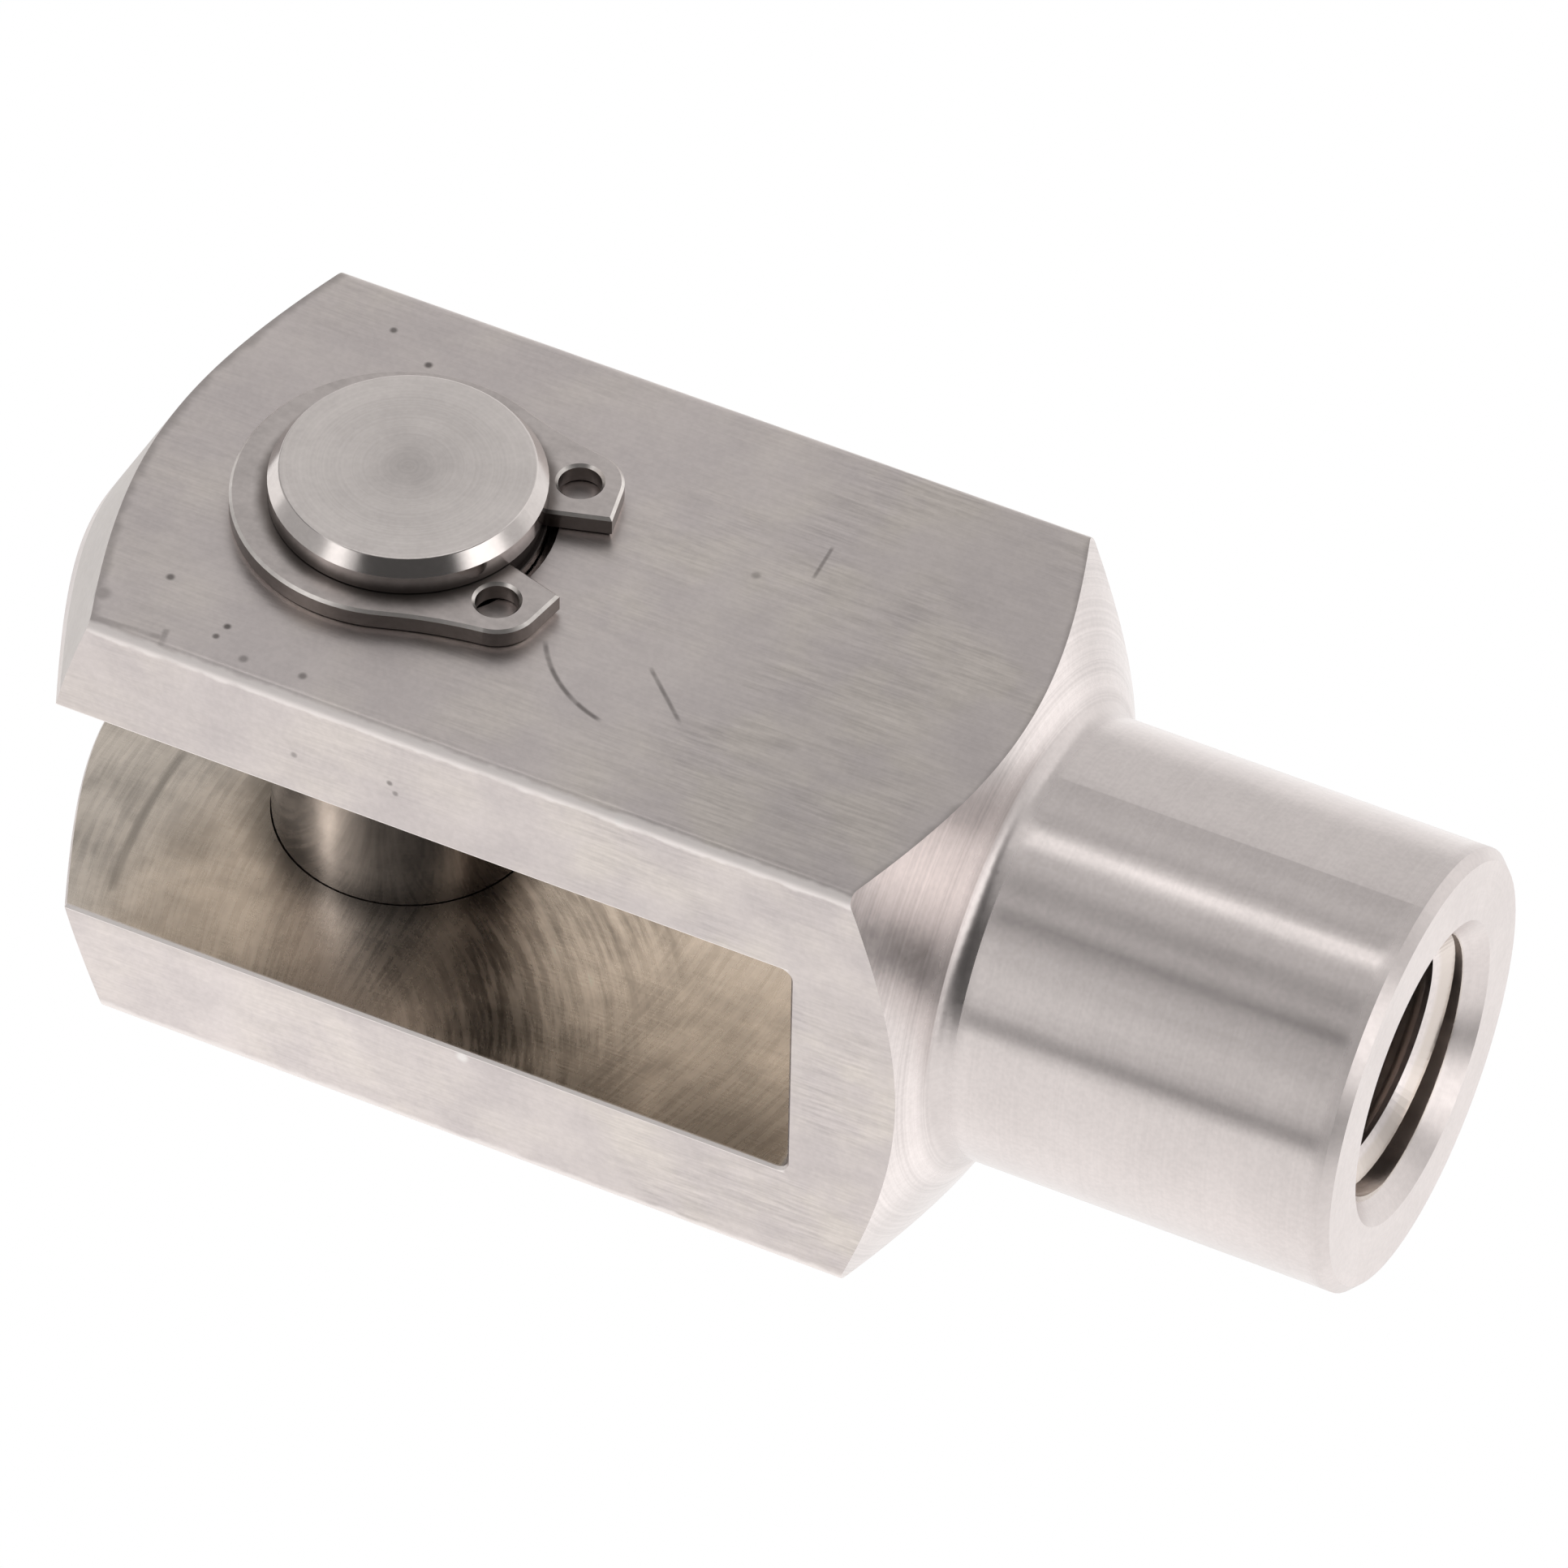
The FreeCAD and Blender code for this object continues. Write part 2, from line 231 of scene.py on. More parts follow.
def makeCloudGroup():
    # uneven tone of handled steel: broad clouds, and a fine speckle
    tree, given, out = newGroup("steelCloud", [
        ("Vector", "NodeSocketVector", (0, 0, 0)),
        ("Scale", "NodeSocketFloat", 300.0),
    ], ["Cloud", "Speckle"])
    feed(tree, out["Cloud"], fade(tree, noise(tree, given["Vector"], given["Scale"], 4.0, 0.6), 0.3, 0.7))
    feed(tree, out["Speckle"], fade(tree, noise(tree, given["Vector"], 4200.0, 1.0, 0.6), 0.3, 0.7))
    return tree


def makePitGroup():
    # small pit or stain round a point
    tree, given, out = newGroup("pitMark", [
        ("Vector", "NodeSocketVector", (0, 0, 0)),
        ("Centre", "NodeSocketVector", (0, 0, 0)),
        ("Radius", "NodeSocketFloat", 0.0002),
        ("Depth", "NodeSocketFloat", 1.0),
    ], ["Mask"])
    reach = vectorCalc(tree, "DISTANCE", given["Vector"], given["Centre"])
    core = calc(tree, "MULTIPLY", given["Radius"], 0.3)
    feed(tree, out["Mask"], fade(tree, reach, core, given["Radius"], given["Depth"], 0.0))
    return tree


def makeScratchGroup():
    # straight scratch between two points, thin at its ends
    tree, given, out = newGroup("scratchMark", [
        ("Vector", "NodeSocketVector", (0, 0, 0)),
        ("Start", "NodeSocketVector", (0, 0, 0)),
        ("End", "NodeSocketVector", (0, 0, 0)),
        ("Width", "NodeSocketFloat", 0.0001),
    ], ["Mask"])
    along = vectorCalc(tree, "SUBTRACT", given["End"], given["Start"])
    away = vectorCalc(tree, "SUBTRACT", given["Vector"], given["Start"])
    squared = vectorCalc(tree, "DOT_PRODUCT", along, along)
    share = calc(tree, "DIVIDE", vectorCalc(tree, "DOT_PRODUCT", away, along), squared, clamp=True)
    foot = addNode(tree, "ShaderNodeVectorMath", operation="SCALE")
    feed(tree, foot.inputs[0], along)
    feed(tree, foot.inputs["Scale"], share)
    reach = vectorCalc(tree, "DISTANCE", away, foot.outputs["Vector"])
    body = fade(tree, calc(tree, "DIVIDE", reach, given["Width"]), 0.2, 1.0, 1.0, 0.0)
    ends = calc(tree, "MULTIPLY", calc(tree, "SUBTRACT", 1.0, share), share)
    feed(tree, out["Mask"], calc(tree, "MULTIPLY", body, fade(tree, ends, 0.0, 0.12)))
    return tree


def makeArcGroup():
    # scratch along an arc in a plane of constant height, round a centre, within a half angle of a direction
    tree, given, out = newGroup("arcMark", [
        ("Vector", "NodeSocketVector", (0, 0, 0)),
        ("Centre", "NodeSocketVector", (0, 0, 0)),
        ("Radius", "NodeSocketFloat", 0.005),
        ("Width", "NodeSocketFloat", 0.0001),
        ("Towards", "NodeSocketVector", (1, 0, 0)),
        ("Half Angle Cosine", "NodeSocketFloat", 0.7),
    ], ["Mask"])
    offset = vectorCalc(tree, "SUBTRACT", given["Vector"], given["Centre"])
    away = vectorCalc(tree, "MULTIPLY", offset, (1, 1, 0))
    miss = calc(tree, "ABSOLUTE", calc(tree, "SUBTRACT", vectorCalc(tree, "LENGTH", away), given["Radius"]))
    body = fade(tree, calc(tree, "DIVIDE", miss, given["Width"]), 0.2, 1.0, 1.0, 0.0)
    facing = vectorCalc(tree, "DOT_PRODUCT", vectorCalc(tree, "NORMALIZE", away), given["Towards"])
    full = blendValue(tree, 0.35, given["Half Angle Cosine"], 1.0)
    level = fadeMm(tree, calc(tree, "ABSOLUTE", split(tree, offset)[2]), 0.4, 0.6, 1.0, 0.0)
    ends = fade(tree, facing, given["Half Angle Cosine"], full)
    feed(tree, out["Mask"], product(tree, body, ends, level))
    return tree


grainGroup = makeGrainGroup()
turningGroup = makeTurningGroup()
cloudGroup = makeCloudGroup()
pitGroup = makePitGroup()
scratchGroup = makeScratchGroup()
arcGroup = makeArcGroup()
print("shared effects made")


def newMaterial(name):
    material = bpy.data.materials.new(name)
    material.use_nodes = True
    tree = material.node_tree
    shader = tree.nodes["Principled BSDF"]
    shader.inputs["Metallic"].default_value = 1.0
    return material, tree, shader


def bump(tree, height, strength, distance):
    node = addNode(tree, "ShaderNodeBump")
    for name, value in (("Height", height), ("Strength", strength), ("Distance", distance)):
        feed(tree, node.inputs[name], value)
    return node.outputs["Normal"]


def inMetres(point):
    return tuple(value * mm for value in point)


def pitMask(tree, place, pits):
    # each pit is x, y, z, radius and depth, the depth a share of the full effect
    masks = []
    for x, y, z, radius, depth in pits:
        spot = useGroup(tree, pitGroup, Vector=place, Centre=inMetres((x, y, z)), Radius=radius * mm,
                        Depth=depth)
        masks.append(spot["Mask"])
    return largest(tree, *masks)


def scratchMask(tree, place, scratches):
    masks = []
    for start, end, width, depth in scratches:
        line = useGroup(tree, scratchGroup, Vector=place, Start=inMetres(start), End=inMetres(end),
                        Width=width * mm)
        masks.append(calc(tree, "MULTIPLY", line["Mask"], depth))
    return largest(tree, *masks)


def arcMask(tree, place, arcs):
    masks = []
    for centre, radius, width, heading, halfAngle, depth in arcs:
        turn = math.radians(heading)
        arc = useGroup(tree, arcGroup, Vector=place, Centre=inMetres(centre), Radius=radius * mm,
                       Width=width * mm, Towards=(math.cos(turn), math.sin(turn), 0.0),
                       **{"Half Angle Cosine": math.cos(math.radians(halfAngle))})
        masks.append(calc(tree, "MULTIPLY", arc["Mask"], depth))
    return largest(tree, *masks)


# Wear that the part carries, in millimetres, and one painted shade with the cheek's dark stains:
# pits, nicks, dark and pale stains (x, y, z, radius, depth), scratches and streaks (start, end, width,
# depth), arcs (centre, radius, width, heading, half angle, depth)

topWear = {
    "pits": [(-5.5, 9.49, 12, 0.24, 0.9), (-3.2, 8.26, 12, 0.26, 1.0), (-7.23, -8.05, 12, 0.27, 0.9),
             (-3.73, -9.58, 12, 0.24, 1.0), (-3.9, -10.3, 12, 0.22, 0.9), (-2.25, -10.97, 12, 0.3, 0.6),
             (0.44, -10.74, 12, 0.28, 0.7), (14.92, 3.2, 12, 0.3, 0.45), (-9.4, -10.2, 12, 0.6, 0.45)],
    "scratches": [((13.22, -3.62, 12), (16.02, -6.21, 12), 0.15, 0.75),
                  ((17.1, 6.27, 12), (17.17, 4.0, 12), 0.13, 0.6),
                  ((15.7, -6.4, 12), (21.2, -5.0, 12), 0.55, 0.2),
                  ((-9.6, -11.65, 12), (-5.6, -11.4, 12), 0.22, 0.4),
                  ((-5.75, -11.9, 12), (-5.95, -10.8, 12), 0.22, 0.45)],
    "arcs": [((14.2, -1.3, 12), 6.3, 0.17, 233.0, 26.0, 0.85)],
}

frontWear = {
    "pits": [(5.17, -12, 8.86, 0.2, 0.7), (5.44, -12, 8.35, 0.2, 0.6), (0.64, -12, 8.47, 0.22, 0.5)],
    "nicks": [(8.6, -12, -6.5, 0.4, 1.0), (15.9, -12, 11.6, 0.3, 0.8)],    # bright, at the edges
}

cheekWear = {
    "arcs": [((20.4, -2.5, -6.15), 30.6, 0.3, 186.4, 9.0, 1.0)],
    # the second dark patch, beside the pin's foot, is a painted shade and reflection of the pin
    "dark": [(9.4, -10.0, -6.15, 2.2, 0.8), (4.8, -7.9, -6.15, 3.4, 0.8), (-7.6, -5.8, -6.15, 2.6, 0.35),
             (2.2, -12.0, -6.15, 3.6, 0.6), (14.5, -12.3, -6.15, 3.4, 0.7), (21.0, -12.4, -6.15, 5.2, 0.7)],
    "pale": [(-4.2, -9.8, -6.15, 2.9, 1.0), (10.4, -5.6, -6.15, 2.6, 1.0)],
    "streaks": [((6.85, -4.58, -6.15), (12.22, -9.88, -6.15), 0.3, 0.8),
                ((7.67, -3.09, -6.15), (12.6, -8.8, -6.15), 0.3, 0.8)],
}


# Fork steel: ground flats, milled cheeks and turned ends in one material, told apart by place and normal

forkFinish = {
    "flatColour": rgb(0.637, 0.586, 0.578),
    "warmColour": rgb(0.65, 0.60, 0.565),
    "cheekColour": rgb(0.62, 0.56, 0.495),
    "turnedColour": rgb(0.70, 0.648, 0.635),
    "tipColour": rgb(0.53, 0.495, 0.475),
    "wornColour": rgb(0.97, 0.92, 0.90),
    "boreColour": rgb(0.64, 0.58, 0.54),
    "flatRoughness": 0.36,
    "cheekRoughness": 0.27,
    "turnedRoughness": 0.20,
    "rootRoughness": 0.32,    # at the neck's root and its mouth
    "tipRoughness": 0.40,
    "wornRoughness": 0.52,
    "flatGrain": (520.0, 6500.0, 6500.0),
    "streak": 0.12,           # swing of the flats' streaks, as a share of the colour, as in the next six
    "cloud": 0.09,
    "speckle": 0.05,
    "lathe": 0.02,
    "shoulderLathe": 0.07,
    "cheekStreak": 0.62,
    "cheekCloud": 0.36,
    "footShade": 0.38,        # painted shade on the cheek round the pin's foot
    "wornStrength": 0.85,
    "nickColour": rgb(0.92, 0.9, 0.88),
    "markColour": rgb(0.09, 0.08, 0.075),
    "cutterRadius": 30.0,     # of the arcs that the slot's cutter left
    "swirlCentre": (-3.7, -17.5, 0.0),
}


def cheekLines(tree, finish, place, x, y):
    # the cutter's arcs at both ends of the slot, and a swirl of rubbing marks between them
    bend = 0.5 / (finish["cutterRadius"] * mm)
    lean = calc(tree, "MULTIPLY", fadeMm(tree, x, -2.0, 10.0, -1.0, 1.0), bend)
    drop = calc(tree, "ADD", y, 2.5 * mm)
    bent = calc(tree, "ADD", x, product(tree, drop, drop, lean))
    across = join(tree, calc(tree, "MULTIPLY", bent, 3600.0), calc(tree, "MULTIPLY", y, 260.0), 0.0)
    arcs = noise(tree, across, 1.0, 2.0, 0.6)
    away = vectorCalc(tree, "SUBTRACT", place, inMetres(finish["swirlCentre"]))
    reach = flatLength(tree, away, (1, 1, 0))
    around = calc(tree, "ARCTAN2", split(tree, away)[1], split(tree, away)[0])
    outward = join(tree, calc(tree, "MULTIPLY", reach, 2600.0), calc(tree, "MULTIPLY", around, 4.0), 0.0)
    swirl = noise(tree, outward, 1.0, 3.0, 0.62)
    middle = between(tree, x, *inMetres((4.0, 14.5, 3.5)))
    return fade(tree, blendValue(tree, middle, arcs, swirl), 0.3, 0.7), middle


def makeForkSteel(finish):
    material, tree, shader = newMaterial("forkSteel")
    coords = addNode(tree, "ShaderNodeTexCoord")
    place = coords.outputs["Object"]
    x, y, z = split(tree, place)
    sideY, sideZ = calc(tree, "ABSOLUTE", y), calc(tree, "ABSOLUTE", z)
    tilt = split(tree, coords.outputs["Normal"])
    tiltX, tiltY, tiltZ = [calc(tree, "ABSOLUTE", socket) for socket in tilt]
    radius = flatLength(tree, place, (0, 1, 1))
    pinReach = flatLength(tree, place, (1, 1, 0))
    flat, slotFloor, neckRoot = fork["flat"], fork["slotFloor"], fork["neckRoot"]

    # zones
    inSlot = calc(tree, "MULTIPLY",
                  fadeMm(tree, sideZ, fork["cheek"] + 0.85, fork["cheek"] + 1.05, 1.0, 0.0),
                  fadeMm(tree, x, slotFloor + 0.9, slotFloor + 1.0, 1.0, 0.0))
    cheek = calc(tree, "MULTIPLY", inSlot, fade(tree, tiltZ, 0.8, 0.9))
    top = calc(tree, "MULTIPLY", fade(tree, tilt[2], 0.7, 0.95), fadeMm(tree, z, flat - 1.0, flat - 0.7))
    onNeck = fadeMm(tree, x, neckRoot - 0.1, neckRoot)
    leaning = calc(tree, "MULTIPLY", fade(tree, tiltX, 0.3, 0.32), calc(tree, "SUBTRACT", 1.0, inSlot))
    turned = calc(tree, "MAXIMUM", onNeck, leaning)
    tipFace = calc(tree, "MULTIPLY", leaning, fadeMm(tree, x, -6.0, -5.0, 1.0, 0.0))
    shoulder = calc(tree, "MULTIPLY", leaning, between(tree, x, *inMetres((20.0, neckRoot + 0.2, 0.2))))
    bore = product(tree, fadeMm(tree, x, slotFloor + 0.02, slotFloor + 0.06), fadeMm(tree, radius, 5.25, 5.5),
                   fadeMm(tree, radius, fork["boreRadius"] + 0.02, fork["boreRadius"] + 0.06, 1.0, 0.0))

    # tone of the ground flats: streaks in patches and clouds, with painted shade and painted light over the
    # length
    grain = useGroup(tree, grainGroup, Vector=place, Stretch=finish["flatGrain"])
    cloud = useGroup(tree, cloudGroup, Vector=place, Scale=260.0)
    patches = calc(tree, "MULTIPLY", fade(tree, noise(tree, place, 190.0), 0.35, 0.65, 0.3, 1.3),
                   fadeMm(tree, x, 4.0, 19.0, 0.6, 1.15))
    streaks = product(tree, total(tree, swing(tree, grain["Fine"], finish["streak"]),
                                  swing(tree, grain["Coarse"], finish["streak"] * 0.6)), patches)
    mottling = blendValue(tree, top, finish["cloud"] * 1.5, finish["cloud"])
    flatTone = total(tree, streaks, swing(tree, cloud["Cloud"], mottling),
                     swing(tree, cloud["Speckle"], finish["speckle"]), 1.0)
    # painted shade: the top darker towards the neck and at its front right; painted light: the lower prong's
    # sides paler towards the tip
    frontShade = calc(tree, "MULTIPLY", fadeMm(tree, y, -10.0, 2.0, 1.0, 0.0), fadeMm(tree, x, 15.0, 22.0))
    paintedTopShade = calc(tree, "MULTIPLY", fadeMm(tree, x, 9.0, 24.0, 1.0, 0.88),
                    calc(tree, "SUBTRACT", 1.0, calc(tree, "MULTIPLY", frontShade, 0.05)))
    paintedLowerLight = calc(tree, "MULTIPLY", fadeMm(tree, z, -7.0, -6.0, 1.0, 0.0),
                     fadeMm(tree, x, -6.0, 20.0, 0.16, 0.03))
    paintedSideLight = calc(tree, "ADD", calc(tree, "MULTIPLY", paintedLowerLight, fade(tree, tiltY, 0.7, 0.9)), 1.0)
    flatTone = product(tree, flatTone, blendValue(tree, top, paintedSideLight, paintedTopShade))

    # ragged dark line beside the tip's cone on the top
    rise = calc(tree, "SUBTRACT", z, fork["tipRise"] * mm)
    tipReach = calc(tree, "SQRT", calc(tree, "ADD", product(tree, y, y), product(tree, rise, rise)))
    tipStart = -(fork["tipReach"] + fork["tipSlope"] * flat) * mm
    tipEdge = calc(tree, "ADD", calc(tree, "MULTIPLY", tipReach, fork["tipSlope"]), tipStart)
    margin = calc(tree, "SUBTRACT", x, tipEdge)
    ragging = noise(tree, place, 900.0, 2.0)
    raggedness = calc(tree, "MULTIPLY", ragging, -0.7 * mm)
    ragged = calc(tree, "ADD", margin, raggedness)
    tipLine = calc(tree, "MULTIPLY", top, fadeMm(tree, ragged, -0.3, 0.2, 0.42, 0.0))
    # and a thinner one beside the shoulder's cone
    slope = fork["shoulderSlope"]
    coneStart = (neckRoot + fork["neckRadius"] * slope) * mm
    coneEdge = calc(tree, "ADD", calc(tree, "MULTIPLY", radius, slope), x)
    coneMargin = calc(tree, "SUBTRACT", coneStart, coneEdge)
    coneRagged = calc(tree, "ADD", coneMargin, calc(tree, "MULTIPLY", raggedness, 0.6))
    coneLine = calc(tree, "MULTIPLY", top, fadeMm(tree, coneRagged, -0.3, 0.1, 0.40, 0.0))

    # cheeks: the cutter's lines, clouds, stains, and painted shade and reflection of the pin round its foot
    lines, middle = cheekLines(tree, finish, place, x, y)
    lineSwing = calc(tree, "MULTIPLY", swing(tree, lines, finish["cheekStreak"]),
                     calc(tree, "ADD", calc(tree, "MULTIPLY", middle, 0.65), 0.35))
    moved = vectorCalc(tree, "ADD", place, inMetres((13.0, 4.0, 0.0)))
    blotch = useGroup(tree, cloudGroup, Vector=moved, Scale=330.0)
    stainAndShade = largest(tree, pitMask(tree, place, cheekWear["dark"]),
                    calc(tree, "MULTIPLY", arcMask(tree, place, cheekWear["arcs"]), 0.8))
    pale = largest(tree, pitMask(tree, place, cheekWear["pale"]),
                   scratchMask(tree, place, cheekWear["streaks"]))
    cheekTone = total(tree, lineSwing, swing(tree, blotch["Cloud"], finish["cheekCloud"]),
                      calc(tree, "MULTIPLY", pale, 0.22), 1.0)
    mottle = calc(tree, "ADD", calc(tree, "MULTIPLY", blotch["Cloud"], 0.55), 0.45)
    stainedAndShaded = product(tree, stainAndShade, mottle, -0.6)
    cheekDrift = calc(tree, "MULTIPLY", fadeMm(tree, x, 6.5, 10.0), fadeMm(tree, y, -10.5, -6.0))
    cheekTone = product(tree, cheekTone, calc(tree, "ADD", stainedAndShaded, 1.0),
                        calc(tree, "ADD", calc(tree, "MULTIPLY", cheekDrift, 0.14), 1.0),
                        fadeMm(tree, pinReach, fork["pinRadius"], fork["pinRadius"] + 2.0,
                               finish["footShade"], 1.0))

    # turned parts: faint lathe lines, stronger on the shoulder's cone
    along = calc(tree, "ADD", x, calc(tree, "MULTIPLY", radius, 1.37))
    lathe = useGroup(tree, turningGroup, Distance=along, Vector=place)
    onShoulder = calc(tree, "MULTIPLY", shoulder, finish["shoulderLathe"])
    latheSwing = calc(tree, "ADD", onShoulder, finish["lathe"])
    turnedTone = total(tree, swing(tree, lathe["Fine"], latheSwing),
                       swing(tree, lathe["Coarse"], latheSwing), swing(tree, cloud["Cloud"], 0.06),
                       swing(tree, cloud["Speckle"], finish["speckle"]), 1.0)

    # worn edges: pale and rough along the slot's mouth, and on the long edges where they turn to the sides
    corner = calc(tree, "MINIMUM", sideY, sideZ)
    wander = calc(tree, "MULTIPLY", ragging, 0.5 * mm)
    sideHalf = fadeMm(tree, total(tree, sideY, calc(tree, "MULTIPLY", sideZ, -1.0), wander), 0.0, 0.3)
    onCorner = fadeMm(tree, calc(tree, "ADD", corner, wander), flat - 0.5, flat - 0.25)
    longEdge = product(tree, onCorner, sideHalf)
    slotEdge = product(tree, fadeMm(tree, sideY, flat - 0.22, flat - 0.1),
                       fadeMm(tree, sideZ, fork["cheek"] + 0.14, fork["cheek"] + 0.19, 1.0, 0.0),
                       fadeMm(tree, x, slotFloor - 0.2, slotFloor, 1.0, 0.0))
    worn = product(tree, calc(tree, "MAXIMUM", longEdge, slotEdge), calc(tree, "SUBTRACT", 1.0, turned))

    # pits, scratches and nicks; the scratches are uneven along their length
    uneven = fade(tree, ragging, 0.35, 0.62, 0.5, 1.0)
    scored = largest(tree, scratchMask(tree, place, topWear["scratches"]),
                     arcMask(tree, place, topWear["arcs"]))
    marks = largest(tree, pitMask(tree, place, topWear["pits"]), pitMask(tree, place, frontWear["pits"]),
                    calc(tree, "MULTIPLY", scored, uneven), tipLine, coneLine)
    nicks = calc(tree, "MULTIPLY", pitMask(tree, place, frontWear["nicks"]),
                 calc(tree, "SUBTRACT", 1.0, cheek))

    warmth = calc(tree, "MULTIPLY", cloud["Cloud"], patches)
    warm = blendColour(tree, warmth, finish["flatColour"], finish["warmColour"])
    colour = vectorCalc(tree, "MULTIPLY", warm, flatTone)
    milled = vectorCalc(tree, "MULTIPLY", finish["cheekColour"][:3], cheekTone)
    turnedColour = blendColour(tree, tipFace, finish["turnedColour"], finish["tipColour"])
    colour = blendColour(tree, turned, colour, vectorCalc(tree, "MULTIPLY", turnedColour, turnedTone))
    colour = blendColour(tree, cheek, colour, milled)
    wornShare = calc(tree, "MULTIPLY", worn, finish["wornStrength"])
    colour = blendColour(tree, wornShare, colour, finish["wornColour"])
    colour = blendColour(tree, calc(tree, "MULTIPLY", nicks, 0.7), colour, finish["nickColour"])
    colour = blendColour(tree, calc(tree, "MULTIPLY", marks, 0.78), colour, finish["markColour"])
    colour = blendColour(tree, bore, colour, finish["boreColour"])
    feed(tree, shader.inputs["Base Color"], colour)

    besideNeck = calc(tree, "MAXIMUM", between(tree, x, *inMetres((neckRoot - 0.6, neckRoot + 0.7, 0.5))),
                      fadeMm(tree, x, fork["neckEnd"] - 1.2, fork["neckEnd"] - 0.6))
    rough = blendValue(tree, besideNeck, finish["turnedRoughness"], finish["rootRoughness"])
    rough = blendValue(tree, tipFace, rough, finish["tipRoughness"])
    rough = blendValue(tree, turned, finish["flatRoughness"], rough)
    cheekRough = calc(tree, "ADD", swing(tree, lines, 0.08), finish["cheekRoughness"])
    rough = blendValue(tree, cheek, rough, cheekRough)
    rough = calc(tree, "ADD", rough, swing(tree, grain["Coarse"], 0.03))
    rough = blendValue(tree, calc(tree, "MAXIMUM", worn, marks), rough, finish["wornRoughness"])
    feed(tree, shader.inputs["Roughness"], rough)

    # the grain stands up a little on the flats; the turned parts are smooth
    relief = calc(tree, "MULTIPLY", grain["Fine"], calc(tree, "SUBTRACT", 1.0, turned))
    feed(tree, shader.inputs["Normal"], bump(tree, relief, 0.5, 0.003 * mm))
    return material


# Pin steel: bright turned side, faced ends with rings round a darker centre, and painted shade in the groove
# and on the side

pinFinish = {
    "colour": rgb(0.70, 0.655, 0.635),
    "grooveShadeColour": rgb(0.10, 0.085, 0.08),
    "roughness": 0.14,
    "faceRoughness": 0.25,
    "grooveRoughness": 0.6,
    "roundness": 0.55,        # how far the lathe's lines draw a highlight out
    "turning": 0.045,
    "centreShade": 0.80,
}


def makePinSteel(finish):
    material, tree, shader = newMaterial("pinSteel")
    coords = addNode(tree, "ShaderNodeTexCoord")
    place = coords.outputs["Object"]
    x, _, z = split(tree, place)
    sideZ = calc(tree, "ABSOLUTE", z)
    reach = flatLength(tree, place, (1, 1, 0))
    face = fade(tree, calc(tree, "ABSOLUTE", split(tree, coords.outputs["Normal"])[2]), 0.85, 0.95)
    lathe = useGroup(tree, turningGroup, Distance=calc(tree, "ADD", z, calc(tree, "MULTIPLY", reach, 1.37)),
                     Vector=place, Lines=6500.0)
    cloud = useGroup(tree, cloudGroup, Vector=place, Scale=420.0)
    tone = total(tree, swing(tree, lathe["Fine"], finish["turning"]), swing(tree, lathe["Coarse"], 0.03),
                 swing(tree, cloud["Cloud"], 0.09), swing(tree, cloud["Speckle"], 0.04), 1.0)
    centre = calc(tree, "ADD", reach, calc(tree, "MULTIPLY", noise(tree, place, 500.0, 3.0), 1.6 * mm))
    middle = fadeMm(tree, centre, 0.8, 3.6, finish["centreShade"], 1.0)
    rim = fadeMm(tree, reach, 3.0, 5.4, 1.0, 1.05)
    # painted shade on the side: near the groove, where the ring shades it, and on one side inside the fork
    ringShade = fadeMm(tree, sideZ, 13.1, 14.0, 0.45, 0.95)
    slotShade = fadeMm(tree, x, 1.8, 4.4, 0.95, 0.55)
    side = blendValue(tree, fadeMm(tree, sideZ, 12.5, 13.0), slotShade, ringShade)
    tone = product(tree, tone, blendValue(tree, face, side, product(tree, middle, rim)))
    colour = vectorCalc(tree, "MULTIPLY", finish["colour"][:3], tone)
    # painted shade in the groove's recess
    groove = calc(tree, "MULTIPLY", between(tree, sideZ, *inMetres((11.90, 13.12, 0.04))),
                  fadeMm(tree, reach, fork["pinRadius"] - 0.1, fork["pinRadius"] - 0.03, 1.0, 0.0))
    colour = blendColour(tree, groove, colour, finish["grooveShadeColour"])
    feed(tree, shader.inputs["Base Color"], colour)
    rough = blendValue(tree, face, finish["roughness"], finish["faceRoughness"])
    feed(tree, shader.inputs["Roughness"], blendValue(tree, groove, rough, finish["grooveRoughness"]))
    shader.inputs["Anisotropic"].default_value = finish["roundness"]
    around = addNode(tree, "ShaderNodeTangent", direction_type="RADIAL", axis="Z")
    feed(tree, shader.inputs["Tangent"], around.outputs[0])
    feed(tree, shader.inputs["Normal"], bump(tree, lathe["Fine"], 0.2, 0.002 * mm))
    return material


# Ring steel: satin faces, painted highlights on the edge breaks, painted shade on the sides, and painted
# shade beside the pin

ringFinish = {
    "colour": rgb(0.565, 0.52, 0.505),
    "sideShadeColour": rgb(0.27, 0.24, 0.225),
    "pinShadeColour": rgb(0.13, 0.11, 0.10),
    "edgeHighlightColour": rgb(0.78, 0.74, 0.71),
    "roughness": 0.34,
    "sideRoughness": 0.30,
}


